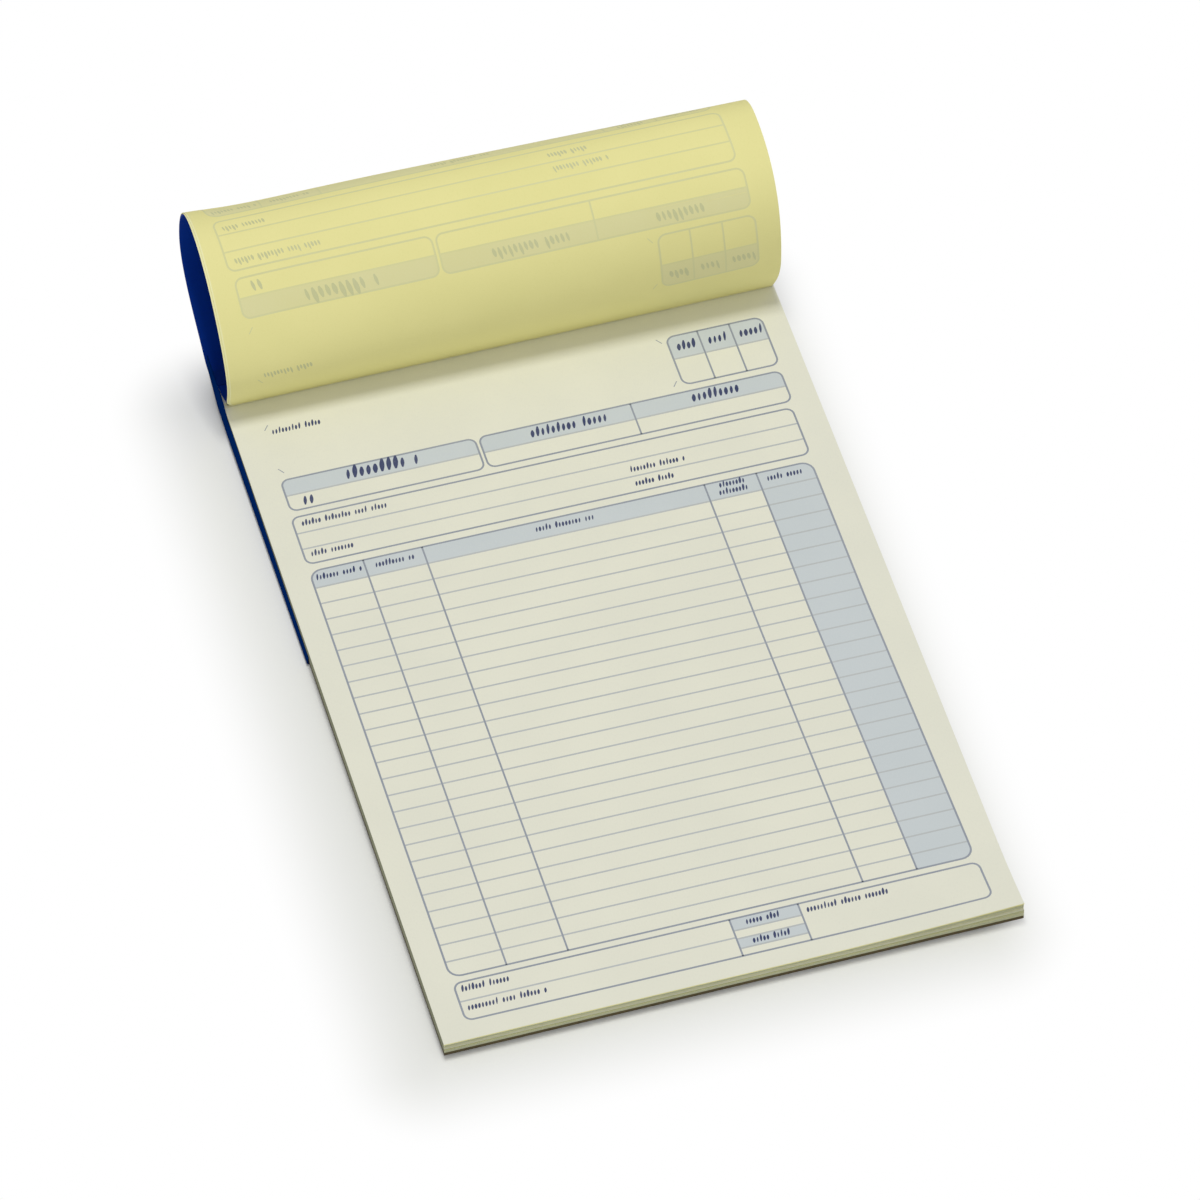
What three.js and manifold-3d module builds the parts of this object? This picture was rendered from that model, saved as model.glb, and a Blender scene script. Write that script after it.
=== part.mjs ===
// A part-used pad of two-part receipt slips, bound at its head and lying flat.
// Its cover and the used yellow slips are turned over the head, curl in a loop
// behind it, and are tucked under the pad.
// Millimetres, +Z up. The head is towards +Y, and the foot towards -Y.
import * as THREE from 'three'
import { mergeVertices } from 'three/addons/utils/BufferGeometryUtils.js'
import Module from 'manifold-3d'

const wasm = await Module()
wasm.setup()

// Leaves. The leaf length runs from the foot to the crease, where an original tears off.
const LEAF_WIDTH = 148
const LEAF_LENGTH = 210
const LEAF_THICKNESS = 0.08
const STUB_DEPTH = 12
const PERFORATION_GAP = 0.3
const UNUSED_SETS = 20
const USED_SETS = 2

// Board and cover. The cover's foot runs on past the leaves, as a shield to write on.
const BOARD_THICKNESS = 1
const COVER_THICKNESS = 0.3
const COVER_OVERLAP = 1
const COVER_FOOT = 22
const TUCK_CLEARANCE = 0.08

// Spine tape, folded over the head edge of the block
const TAPE_THICKNESS = 0.1
const TAPE_LAP = 5

// Wire staples, through the stubs. A slot's cutter reaches past both faces of a sheet.
const WIRE_WIDTH = 0.5
const WIRE_HEIGHT = 0.4
const STAPLE_CROWN = 13
const STAPLE_FOOT = 4
const STAPLE_SPACING = 70
const STAPLE_SETBACK = 4
const STAPLE_CLEARANCE = 0.15
const SLOT_REACH = 1

// The turned sheets. They fold up at the crease and come down behind the stubs.
const CREASE_RADIUS = 0.5
const WALL_LEAN = 61
const WALL_STIFFNESS = 0.35
const LANDING_SETBACK = 7.7
const LANDING_SLOPE = 33
const LANDING_GAP = 0.4

// The loop at its left and right ends. Depths are from the crease and heights
// from the top of the block, both to the outermost sheet. A fullness is the
// length of a curve's handles as a share of its run.
const LEFT_LOOP = {
  overhang: 5.7, bellyHeight: 14, crestDepth: 24, crestHeight: 40.7,
  reach: 43.6, backHeight: 18.6, frontFullness: 0.43, backFullness: 0.6,
}
const RIGHT_LOOP = {
  overhang: 6.9, bellyHeight: 18.3, crestDepth: 17.6, crestHeight: 47.8,
  reach: 34, backHeight: 20, frontFullness: 0.65, backFullness: 0.6,
}
const FALL_FULLNESS = 0.57
const LANDING_FULLNESS = 0.45
const ARC_STEPS = 6
const CURVE_STEPS = 12

// Heights, from the table up
const SET_PITCH = 2 * LEAF_THICKNESS
const WRAP_DEPTH = USED_SETS * SET_PITCH + COVER_THICKNESS
const BOARD_BOTTOM = WRAP_DEPTH + TUCK_CLEARANCE + TAPE_THICKNESS
const BOARD_TOP = BOARD_BOTTOM + BOARD_THICKNESS
const BLOCK_TOP = BOARD_TOP + UNUSED_SETS * SET_PITCH
const ROOTS_TOP = BLOCK_TOP + WRAP_DEPTH

// Places along the pad, from its foot
const CREASE_Y = LEAF_LENGTH
const HEAD_Y = CREASE_Y + STUB_DEPTH
const LANDING_Y = HEAD_Y + LANDING_SETBACK
const STAPLE_Y = CREASE_Y + STAPLE_SETBACK
const STAPLE_XS = [-STAPLE_SPACING / 2, STAPLE_SPACING / 2]
const LEG_XS = STAPLE_XS.flatMap((x) => [x - legOffset(), x + legOffset()])
const COVER_WIDTH = LEAF_WIDTH + 2 * COVER_OVERLAP
const COVER_LENGTH = LEAF_LENGTH + COVER_FOOT

const paperWhite = new THREE.MeshStandardMaterial({ color: '#e6e4d3', roughness: 0.85 })
const paperYellow = new THREE.MeshStandardMaterial({ color: '#dcd88f', roughness: 0.85 })
const coverCard = new THREE.MeshStandardMaterial({ color: '#0b2a66', roughness: 0.55 })
const greyBoard = new THREE.MeshStandardMaterial({ color: '#7d6f55', roughness: 0.95 })
const spineTape = new THREE.MeshStandardMaterial({ color: '#15357a', roughness: 0.6 })
const stapleWire = new THREE.MeshStandardMaterial({ color: '#b4b6b8', roughness: 0.35, metalness: 1 })

const pad = new THREE.Group()

function add(name, geometry, material) {
  const mesh = new THREE.Mesh(geometry, material)
  mesh.name = name
  pad.add(mesh)
}

// Half the distance between the middles of a staple's legs
function legOffset() {
  return (STAPLE_CROWN - WIRE_WIDTH) / 2
}

function box(xLow, xHigh, yLow, yHigh, zLow, zHigh) {
  const geometry = new THREE.BoxGeometry(xHigh - xLow, yHigh - yLow, zHigh - zLow)
  return geometry.translate((xLow + xHigh) / 2, (yLow + yHigh) / 2, (zLow + zHigh) / 2)
}

// Joining and cutting solids

function toSolid(geometry) {
  const bare = geometry.clone()
  bare.deleteAttribute('normal')
  bare.deleteAttribute('uv')
  const merged = mergeVertices(bare)
  const vertProperties = new Float32Array(merged.attributes.position.array)
  const triVerts = new Uint32Array(merged.index.array)
  return new wasm.Manifold(new wasm.Mesh({ numProp: 3, vertProperties, triVerts }))
}

function cut(geometry, cutters) {
  const solid = cutters.reduce((rest, cutter) => rest.subtract(toSolid(cutter)), toSolid(geometry))
  const mesh = solid.getMesh()
  const result = new THREE.BufferGeometry()
  result.setAttribute('position', new THREE.BufferAttribute(mesh.vertProperties, mesh.numProp))
  result.setIndex(new THREE.BufferAttribute(mesh.triVerts, 1))
  result.computeVertexNormals()
  return result
}

// A clearance slot for each staple leg, from one height to another
function legSlots(zLow, zHigh) {
  const half = WIRE_WIDTH / 2 + STAPLE_CLEARANCE
  return LEG_XS.map((x) => box(x - half, x + half, STAPLE_Y - half, STAPLE_Y + half, zLow, zHigh))
}

// A flat sheet with its underside at a height. One that is stapled has leg slots.
function flatSheet(width, yLow, yHigh, bottom, thickness, isStapled) {
  const top = bottom + thickness
  const sheet = box(-width / 2, width / 2, yLow, yHigh, bottom, top)
  return isStapled ? cut(sheet, legSlots(bottom - SLOT_REACH, top + SLOT_REACH)) : sheet
}

// The block: unused sets, each a white original over its yellow duplicate.
// The top set is set 01. Its two leaves lift, so each is apart from its stub.
function buildBlock() {
  for (let set = 1; set <= UNUSED_SETS; set++) {
    const label = String(set).padStart(2, '0')
    const duplicateBottom = BLOCK_TOP - set * SET_PITCH
    const originalBottom = duplicateBottom + LEAF_THICKNESS
    const leaves = [
      ['original', originalBottom, paperWhite],
      ['duplicate', duplicateBottom, paperYellow],
    ]
    for (const [kind, bottom, material] of leaves) {
      if (set === 1) {
        const leafEnd = CREASE_Y - PERFORATION_GAP
        add(`${kind}_${label}`, flatSheet(LEAF_WIDTH, 0, leafEnd, bottom, LEAF_THICKNESS, false), material)
        const stub = flatSheet(LEAF_WIDTH, CREASE_Y, HEAD_Y, bottom, LEAF_THICKNESS, true)
        add(`${kind}_${label}_stub`, stub, material)
      } else {
        add(`${kind}_${label}`, flatSheet(LEAF_WIDTH, 0, HEAD_Y, bottom, LEAF_THICKNESS, true), material)
      }
    }
  }
}

// The board has a pressed groove in its underside for each clinched leg.
function buildBoard() {
  const half = WIRE_WIDTH / 2 + STAPLE_CLEARANCE
  const grooveTop = BOARD_BOTTOM + WIRE_HEIGHT + STAPLE_CLEARANCE
  const grooves = STAPLE_XS.flatMap((x) => [-1, 1].map((side) => {
    const outer = x + side * (legOffset() + half)
    const inner = x + side * (STAPLE_CROWN / 2 - STAPLE_FOOT - STAPLE_CLEARANCE)
    const xLow = Math.min(outer, inner)
    const xHigh = Math.max(outer, inner)
    return box(xLow, xHigh, STAPLE_Y - half, STAPLE_Y + half, BOARD_BOTTOM - SLOT_REACH, grooveTop)
  }))
  const board = box(-LEAF_WIDTH / 2, LEAF_WIDTH / 2, 0, HEAD_Y, BOARD_BOTTOM, BOARD_TOP)
  const slots = legSlots(BOARD_BOTTOM - SLOT_REACH, BOARD_TOP + SLOT_REACH)
  add('back_board', cut(board, [...slots, ...grooves]), greyBoard)
}

// A staple: a crown on the cover's root, two legs, and two feet clinched inwards
function buildStaples() {
  const half = STAPLE_CROWN / 2
  const top = ROOTS_TOP + WIRE_HEIGHT
  const footTop = BOARD_BOTTOM + WIRE_HEIGHT
  const wire = new THREE.Shape([
    new THREE.Vector2(-half, top),
    new THREE.Vector2(-half, BOARD_BOTTOM),
    new THREE.Vector2(-half + STAPLE_FOOT, BOARD_BOTTOM),
    new THREE.Vector2(-half + STAPLE_FOOT, footTop),
    new THREE.Vector2(-half + WIRE_WIDTH, footTop),
    new THREE.Vector2(-half + WIRE_WIDTH, ROOTS_TOP),
    new THREE.Vector2(half - WIRE_WIDTH, ROOTS_TOP),
    new THREE.Vector2(half - WIRE_WIDTH, footTop),
    new THREE.Vector2(half - STAPLE_FOOT, footTop),
    new THREE.Vector2(half - STAPLE_FOOT, BOARD_BOTTOM),
    new THREE.Vector2(half, BOARD_BOTTOM),
    new THREE.Vector2(half, top),
  ])
  STAPLE_XS.forEach((x, index) => {
    const geometry = new THREE.ExtrudeGeometry(wire, { depth: WIRE_WIDTH, bevelEnabled: false })
    geometry.rotateX(Math.PI / 2)
    geometry.translate(x, STAPLE_Y + WIRE_WIDTH / 2, 0)
    add(index === 0 ? 'staple_left' : 'staple_right', geometry, stapleWire)
  })
}

// The tape: an upper lap on the cover's root, the spine, and a lower lap under the board
function buildTape() {
  const bottom = BOARD_BOTTOM - TAPE_THICKNESS
  const top = ROOTS_TOP + TAPE_THICKNESS
  const back = HEAD_Y + TAPE_THICKNESS
  const lapStart = HEAD_Y - TAPE_LAP
  const fold = new THREE.Shape([
    new THREE.Vector2(lapStart, bottom),
    new THREE.Vector2(back, bottom),
    new THREE.Vector2(back, top),
    new THREE.Vector2(lapStart, top),
    new THREE.Vector2(lapStart, ROOTS_TOP),
    new THREE.Vector2(HEAD_Y, ROOTS_TOP),
    new THREE.Vector2(HEAD_Y, BOARD_BOTTOM),
    new THREE.Vector2(lapStart, BOARD_BOTTOM),
  ])
  const geometry = new THREE.ExtrudeGeometry(fold, { depth: LEAF_WIDTH, bevelEnabled: false })
  geometry.rotateX(Math.PI / 2)
  geometry.rotateZ(Math.PI / 2)
  add('spine_tape', geometry.translate(-LEAF_WIDTH / 2, 0, 0), spineTape)
}

// Turned sheets

// One stretch of the loop, a cubic curve between two points with given directions.
// Directions are (depth, height) pairs, and each handle is a length along its own.
function stretch(from, direction, handle, to, endDirection, endHandle) {
  return new THREE.CubicBezierCurve(
    from,
    from.clone().addScaledVector(direction, handle),
    to.clone().addScaledVector(endDirection, -endHandle),
    to,
  )
}

// The section of the outermost turned sheet, on its outer face: points with the
// direction that the sheet runs in, from the head edge of its root, forward to
// the crease, up the wall, over the crest and down the back to the landing.
function loopSection(loop) {
  const lean = THREE.MathUtils.degToRad(WALL_LEAN)
  const slope = THREE.MathUtils.degToRad(LANDING_SLOPE)
  const bendRadius = CREASE_RADIUS + WRAP_DEPTH
  const bendStart = bendRadius * Math.tan(lean / 2)
  const forward = new THREE.Vector2(-1, 0)
  const up = new THREE.Vector2(0, 1)
  const back = new THREE.Vector2(1, 0)
  const down = new THREE.Vector2(0, -1)
  const wall = new THREE.Vector2(-Math.cos(lean), Math.sin(lean))
  const landing = new THREE.Vector2(-Math.cos(slope), -Math.sin(slope))

  const section = [{ point: new THREE.Vector2(STUB_DEPTH, 0), run: forward }]
  for (let step = 0; step <= ARC_STEPS; step++) {
    const turn = (lean * step) / ARC_STEPS
    section.push({
      point: new THREE.Vector2(bendStart - bendRadius * Math.sin(turn), bendRadius * (1 - Math.cos(turn))),
      run: new THREE.Vector2(-Math.cos(turn), Math.sin(turn)),
    })
  }

  const wallFoot = wall.clone().multiplyScalar(bendStart)
  const belly = new THREE.Vector2(-loop.overhang, loop.bellyHeight)
  const crest = new THREE.Vector2(loop.crestDepth, loop.crestHeight)
  const rear = new THREE.Vector2(loop.reach, loop.backHeight)
  const foot = new THREE.Vector2(LANDING_Y - CREASE_Y, -BLOCK_TOP)
  const stiffness = WALL_STIFFNESS * loop.bellyHeight
  const front = loop.frontFullness
  const rearward = loop.backFullness
  const stretches = [
    stretch(wallFoot, wall, stiffness, belly, up, stiffness),
    stretch(belly, up, front * (crest.y - belly.y), crest, back, front * (crest.x - belly.x)),
    stretch(crest, back, rearward * (rear.x - crest.x), rear, down, rearward * (crest.y - rear.y)),
    stretch(rear, down, FALL_FULLNESS * (rear.y - foot.y), foot, landing,
      LANDING_FULLNESS * (rear.x - foot.x)),
  ]
  for (const curve of stretches) {
    for (let step = 1; step <= CURVE_STEPS; step++) {
      const share = step / CURVE_STEPS
      section.push({ point: curve.getPoint(share), run: curve.getTangent(share) })
    }
  }
  return section
}

// The section's line moved a depth into the loop, at right angles to its run
function inset(section, depth) {
  return section.map(({ point, run }) => new THREE.Vector2(point.x + depth * run.y, point.y - depth * run.x))
}

const leftSection = loopSection(LEFT_LOOP)
const rightSection = loopSection(RIGHT_LOOP)

// A curled sheet between two depths in the wrap: a ruled surface from the left
// end's section to the right end's, given its thickness and closed at its edges.
// Both faces are split along the same diagonals, so the thickness is even.
function curledSheet(width, depth, thickness) {
  const lines = [depth, depth + thickness].map((d) => [inset(leftSection, d), inset(rightSection, d)])
  const positions = []
  const corner = (layer, x, step) => {
    const [left, right] = lines[layer]
    const place = left[step].clone().lerp(right[step], x / LEAF_WIDTH + 0.5)
    positions.push(x, CREASE_Y + place.x, BLOCK_TOP + place.y)
  }
  for (let step = 0; step < leftSection.length; step++) {
    corner(0, -width / 2, step)
    corner(0, width / 2, step)
    corner(1, width / 2, step)
    corner(1, -width / 2, step)
  }
  const index = []
  const quad = (a, b, c, d) => index.push(a, b, c, a, c, d)
  const last = 4 * (leftSection.length - 1)
  quad(0, 3, 2, 1)
  for (let ring = 0; ring < last; ring += 4) {
    const next = ring + 4
    quad(ring, ring + 1, next + 1, next)
    quad(ring + 1, ring + 2, next + 2, next + 1)
    quad(ring + 3, next + 3, next + 2, ring + 2)
    quad(ring + 3, ring, next, next + 3)
  }
  quad(last, last + 1, last + 2, last + 3)
  const geometry = new THREE.BufferGeometry()
  geometry.setAttribute('position', new THREE.Float32BufferAttribute(positions, 3))
  geometry.setIndex(index)
  return geometry
}

// The length of a section beyond the crease, mean of both ends
function loopLength() {
  const lengths = [leftSection, rightSection].map((section) => {
    let length = 0
    for (let step = 2; step < section.length; step++) {
      length += section[step].point.distanceTo(section[step - 1].point)
    }
    return length
  })
  return (lengths[0] + lengths[1]) / 2
}

// A turned sheet is a root and curl that go with the pad, and a flat flap under it.
// The flap has what is left of the sheet's length beyond the landing.
function buildTurnedSheet(name, width, length, depth, thickness, material) {
  const curl = curledSheet(width, depth, thickness)
  const rootBottom = BLOCK_TOP + depth
  const slots = legSlots(rootBottom - SLOT_REACH, rootBottom + thickness + SLOT_REACH)
  add(`${name}_curl`, cut(curl, slots), material)
  const flapStart = LANDING_Y - LANDING_GAP
  const flapEnd = LANDING_Y - (length - loopLength())
  add(`${name}_flap`, flatSheet(width, flapEnd, flapStart, depth, thickness, false), material)
}

// The used sets, latest outermost: a turned duplicate, and over its root the
// stub of the original that was torn off. The cover lies over them all.
function buildTurnedPack() {
  for (let layer = 0; layer < USED_SETS; layer++) {
    const label = USED_SETS - layer
    const depth = layer * SET_PITCH
    buildTurnedSheet(`used_duplicate_${label}`, LEAF_WIDTH, LEAF_LENGTH, depth, LEAF_THICKNESS, paperYellow)
    const stubBottom = BLOCK_TOP + depth + LEAF_THICKNESS
    const stubStart = CREASE_Y + (CREASE_RADIUS + WRAP_DEPTH)
    const stub = flatSheet(LEAF_WIDTH, stubStart, HEAD_Y, stubBottom, LEAF_THICKNESS, true)
    add(`used_original_stub_${label}`, stub, paperWhite)
  }
  buildTurnedSheet('cover', COVER_WIDTH, COVER_LENGTH, USED_SETS * SET_PITCH, COVER_THICKNESS, coverCard)
}

buildBoard()
buildBlock()
buildTurnedPack()
buildStaples()
buildTape()

// The origin is on the table, at the middle of the part's width and depth.
const reach = Math.max(LEFT_LOOP.reach, RIGHT_LOOP.reach)
pad.position.y = -(CREASE_Y + reach) / 2

export default pad
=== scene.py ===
# A part-used pad of two-part receipt slips, bound at its head and lying flat.
# Its cover and the used yellow slips are turned over the head, curl in a loop
# behind it, and are tucked under the pad. Points are in millimetres until a mesh is made.
import math

import bpy
import numpy as np
from mathutils import Matrix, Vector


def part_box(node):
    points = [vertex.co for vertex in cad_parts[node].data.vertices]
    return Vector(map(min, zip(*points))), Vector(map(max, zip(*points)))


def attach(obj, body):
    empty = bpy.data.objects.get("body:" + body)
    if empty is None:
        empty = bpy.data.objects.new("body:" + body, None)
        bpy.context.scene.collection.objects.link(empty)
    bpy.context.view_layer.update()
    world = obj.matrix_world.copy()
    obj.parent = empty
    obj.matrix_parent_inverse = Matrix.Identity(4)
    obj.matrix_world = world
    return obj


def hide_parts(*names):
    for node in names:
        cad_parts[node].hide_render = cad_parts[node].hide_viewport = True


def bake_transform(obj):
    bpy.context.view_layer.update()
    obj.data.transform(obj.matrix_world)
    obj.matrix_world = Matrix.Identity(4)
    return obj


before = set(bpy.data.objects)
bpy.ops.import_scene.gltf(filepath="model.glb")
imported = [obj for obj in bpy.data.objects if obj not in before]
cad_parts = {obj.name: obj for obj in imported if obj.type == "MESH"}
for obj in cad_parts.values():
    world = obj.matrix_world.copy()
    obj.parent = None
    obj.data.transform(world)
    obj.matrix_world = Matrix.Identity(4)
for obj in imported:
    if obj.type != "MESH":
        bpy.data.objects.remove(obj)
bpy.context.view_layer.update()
MM = 0.001

# Camera: where the pad is seen from, over its front left corner and nearly level
# with its sides. The distance and lens are those of a long lens in a studio.
VIEW_AZIMUTH = math.radians(-16.36)
VIEW_ELEVATION = math.radians(51.4)
VIEW_ROLL = math.radians(0.07)
VIEW_DISTANCE = 2112.2
VIEW_TARGET = np.array([2.24, -0.9, 0.0])
LENS = 249.85
SENSOR = 36.0


def place_camera():
    """The camera looks at the target from its azimuth and elevation, rolled about its own axis."""
    level = math.cos(VIEW_ELEVATION)
    back = np.array([
        math.sin(VIEW_AZIMUTH) * level,
        -math.cos(VIEW_AZIMUTH) * level,
        math.sin(VIEW_ELEVATION),
    ])
    right = np.cross(-back, [0, 0, 1])
    right /= np.linalg.norm(right)
    up = np.cross(right, -back)
    cosine, sine = math.cos(VIEW_ROLL), math.sin(VIEW_ROLL)
    right, up = cosine * right + sine * up, cosine * up - sine * right
    data = bpy.data.cameras.new("view")
    data.lens = LENS
    data.sensor_width = SENSOR
    data.clip_end = 20
    camera = bpy.data.objects.new("view", data)
    bpy.context.scene.collection.objects.link(camera)
    pose = np.eye(4)
    pose[:3, :3] = np.stack([right, up, back], 1)
    pose[:3, 3] = (VIEW_TARGET + back * VIEW_DISTANCE) * MM
    camera.matrix_world = Matrix(pose.tolist())
    bpy.context.scene.camera = camera


place_camera()


# Back board: brown-grey millboard of pulped paper, bound under the whole block. Its
# solid is the imported one, and the pulp shows as flecks and clouds. Its brown is darker
# than the board's own, as painted shade for the front edge that lies in shade.
SHADED_BOARD_FACE = (0.1, 0.075, 0.028)
SHADED_BOARD_FLECK = (0.055, 0.04, 0.015)
BOARD_TEXTURE = (0.8, 0.4, 1500.0, 0.82, 0.6)


def linked(nodes, links, kind, inputs, **settings):
    """Adds a shader node, with its inputs set to values or linked to sockets."""
    node = nodes.new(kind)
    for key, value in settings.items():
        setattr(node, key, value)
    for key, value in inputs.items():
        if isinstance(value, bpy.types.NodeSocket):
            links.new(value, node.inputs[key])
        else:
            node.inputs[key].default_value = value
    return node


def build_stock_group():
    """Paper or board stock, as a node group: soft clouds and short fibres mix two
    colours and move the roughness, and the fibres give a fine bump."""
    group = bpy.data.node_groups.new("stock", "ShaderNodeTree")
    sockets = (
        ("Colour", "NodeSocketColor"), ("Fleck", "NodeSocketColor"), ("Fleck share", "NodeSocketFloat"),
        ("Cloud share", "NodeSocketFloat"), ("Fibre scale", "NodeSocketFloat"),
        ("Roughness", "NodeSocketFloat"), ("Bump", "NodeSocketFloat"),
    )
    for name, kind in sockets:
        group.interface.new_socket(name, in_out="INPUT", socket_type=kind)
    for name, kind in (("Colour", "NodeSocketColor"), ("Roughness", "NodeSocketFloat"),
                       ("Normal", "NodeSocketVector")):
        group.interface.new_socket(name, in_out="OUTPUT", socket_type=kind)
    nodes, links = group.nodes, group.links
    given = nodes.new("NodeGroupInput").outputs
    place = nodes.new("ShaderNodeTexCoord").outputs["Object"]
    long_way = linked(nodes, links, "ShaderNodeMapping", {"Vector": place, "Scale": (1.0, 0.45, 1.0)})
    fibre = linked(nodes, links, "ShaderNodeTexNoise", {
        "Vector": long_way.outputs["Vector"], "Scale": given["Fibre scale"], "Detail": 3.0, "Roughness": 0.6,
    })
    cloud = linked(nodes, links, "ShaderNodeTexNoise", {"Vector": place, "Scale": 45.0, "Detail": 2.0})
    sparse = linked(nodes, links, "ShaderNodeMapRange", {
        "Value": fibre.outputs["Fac"], "From Min": 0.52, "From Max": 0.72,
    })
    clouded = linked(nodes, links, "ShaderNodeMapRange", {
        "Value": cloud.outputs["Fac"], "From Min": 0.35, "From Max": 0.65,
    })
    fleck = linked(nodes, links, "ShaderNodeMath", {0: sparse.outputs["Result"], 1: given["Fleck share"]},
                   operation="MULTIPLY")
    share = linked(nodes, links, "ShaderNodeMath", {
        0: clouded.outputs["Result"], 1: given["Cloud share"], 2: fleck.outputs["Value"],
    }, operation="MULTIPLY_ADD")
    colour = linked(nodes, links, "ShaderNodeMix", {
        "Factor": share.outputs["Value"], 6: given["Colour"], 7: given["Fleck"],
    }, data_type="RGBA")
    rough = linked(nodes, links, "ShaderNodeMath", {
        0: fibre.outputs["Fac"], 1: 0.1, 2: given["Roughness"],
    }, operation="MULTIPLY_ADD")
    bump = linked(nodes, links, "ShaderNodeBump", {
        "Height": fibre.outputs["Fac"], "Strength": given["Bump"], "Distance": 0.0001,
    })
    put = nodes.new("NodeGroupOutput")
    links.new(colour.outputs[2], put.inputs["Colour"])
    links.new(rough.outputs["Value"], put.inputs["Roughness"])
    links.new(bump.outputs["Normal"], put.inputs["Normal"])
    return group


stock = build_stock_group()


def stock_material(name, colour, fleck, texture, specular=0.5, metallic=0.0):
    """A material of paper or board stock. Its texture is the rest of its values for the
    stock group: fleck share, cloud share, fibre scale, roughness and bump."""
    material = bpy.data.materials.new(name)
    material.use_nodes = True
    nodes, links = material.node_tree.nodes, material.node_tree.links
    surface = nodes["Principled BSDF"]
    made = nodes.new("ShaderNodeGroup")
    made.node_tree = stock
    sockets = ("Colour", "Fleck", "Fleck share", "Cloud share", "Fibre scale", "Roughness", "Bump")
    for socket, value in zip(sockets, ((*colour, 1), (*fleck, 1), *texture)):
        made.inputs[socket].default_value = value
    surface.inputs["Specular IOR Level"].default_value = specular
    surface.inputs["Metallic"].default_value = metallic
    links.new(made.outputs["Colour"], surface.inputs["Base Color"])
    links.new(made.outputs["Roughness"], surface.inputs["Roughness"])
    links.new(made.outputs["Normal"], surface.inputs["Normal"])
    return material


def dress(node, material):
    """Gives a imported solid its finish."""
    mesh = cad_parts[node].data
    mesh.materials.clear()
    mesh.materials.append(material)


dress("back_board", stock_material("millboard", SHADED_BOARD_FACE, SHADED_BOARD_FLECK, BOARD_TEXTURE))


# Block: twenty unused sets, each a white original over its yellow duplicate, cut
# square and bound at the head. The front right corner has been leafed through, so it
# curls up in small groups. The upper sets have crept back. The cut sides and foot rims carry painted shade,
# and some foot rims painted highlight.
WHITE = (0.812, 0.806, 0.675)
WHITE_FLECK = (0.745, 0.745, 0.632)
YELLOW = (0.84, 0.79, 0.345)
YELLOW_FLECK = (0.78, 0.74, 0.305)
# Painted shade: the cut sides are a dark olive, as if in shade, on every leaf's left and right rims.
SHADED_SIDE_EDGE = (0.3, 0.31, 0.2)
SHADED_SIDE_EDGE_FLECK = (0.22, 0.23, 0.14)
# Painted light on the foot rims: the grey and dark rims are painted shade, the dark ones painted shadow
# between groups of leaves, and the pale ones painted highlight.
PAINTED_HIGHLIGHT_RIM = (0.74, 0.77, 0.55)
PAINTED_SHADE_RIM = (0.5, 0.53, 0.36)
PAINTED_DEEP_SHADE_RIM = (0.38, 0.41, 0.26)
RIM_FLECK_SHADE = 0.85
PAPER_FIBRE_SCALE = 2600.0
PAPER_TEXTURE = (0.35, 0.35, PAPER_FIBRE_SCALE, 0.8, 0.25)
CUT_TEXTURE = (0.5, 0.5, 1800.0, 0.9, 0.3)
SHARP_ANGLE = math.radians(40)
LEAF_COUNT = 20
# Runs of sets from the top whose foot rims are alike, by the last set of each. The dark
# runs are painted shadow between groups of leaves, and the pale ones painted highlight.
RIM_RUNS = ((3, "dark"), (5, "grey"), (6, "dark"), (9, "grey"), (11, "pale"), (13, "dark"), (17, "grey"),
            (18, "dark"), (LEAF_COUNT, "grey"))
LEAF_CELL = 12.0
CORNER_CELL = (3.0, 1.5)
CORNER_LIFT = 1.7
CORNER_REACH = (60.0, 22.0)
GROUPS = 7
GROUPING = 0.9
TOP_CREEP = 0.14
CREEP = 0.5
CREEP_SHARE = 0.51
RIPPLE = 0.06
RIPPLE_COUNT = 9

leaf_low, leaf_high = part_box("original_01")
stub_low, stub_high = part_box("original_01_stub")
half_width = leaf_high.x / MM
foot_y = leaf_low.y / MM
crease_y = stub_low.y / MM
head_y = stub_high.y / MM
block_top = leaf_high.z / MM
board_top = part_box("back_board")[1].z / MM
leaf_width = 2 * half_width
leaf_length = crease_y - foot_y

white_paper = stock_material("white bond paper", WHITE, WHITE_FLECK, PAPER_TEXTURE)
yellow_paper = stock_material("yellow bond paper", YELLOW, YELLOW_FLECK, PAPER_TEXTURE)
shaded_side_edge = stock_material("cut side of the block, painted shade", SHADED_SIDE_EDGE, SHADED_SIDE_EDGE_FLECK, CUT_TEXTURE)
rims = {}
for name, colour in (("pale", PAINTED_HIGHLIGHT_RIM), ("grey", PAINTED_SHADE_RIM), ("dark", PAINTED_DEEP_SHADE_RIM)):
    darker = tuple(RIM_FLECK_SHADE * part for part in colour)
    rims[name] = stock_material(f"{name} foot rim", colour, darker, CUT_TEXTURE)


def make_piece(name, points, faces, material, slot):
    """A mesh object from points in millimetres and rows of corner numbers. If the
    volume that the faces enclose comes out negative, they are all turned round."""
    first, second, third = (points[faces[:, k]] for k in (0, 1, 2))
    volume = np.einsum("ij,ij->", first, np.cross(second, third))
    if faces.shape[1] == 4:
        volume += np.einsum("ij,ij->", first, np.cross(third, points[faces[:, 3]]))
    if volume < 0:
        faces = faces[:, ::-1]
    mesh = bpy.data.meshes.new(name)
    mesh.from_pydata((points * MM).tolist(), [], faces.tolist())
    mesh.polygons.foreach_set("use_smooth", np.ones(len(faces), bool))
    mesh.set_sharp_from_angle(angle=SHARP_ANGLE)
    mesh.materials.append(material)
    piece = bpy.data.objects.new(name, mesh)
    bpy.context.scene.collection.objects.link(piece)
    return piece


def grid_faces(rows, columns):
    """The quads of a grid of rows by columns of points, numbered row by row."""
    number = np.arange(rows * columns).reshape(rows, columns)
    corners = (number[:-1, :-1], number[:-1, 1:], number[1:, 1:], number[1:, :-1])
    return np.stack([c.ravel() for c in corners], 1)


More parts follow.
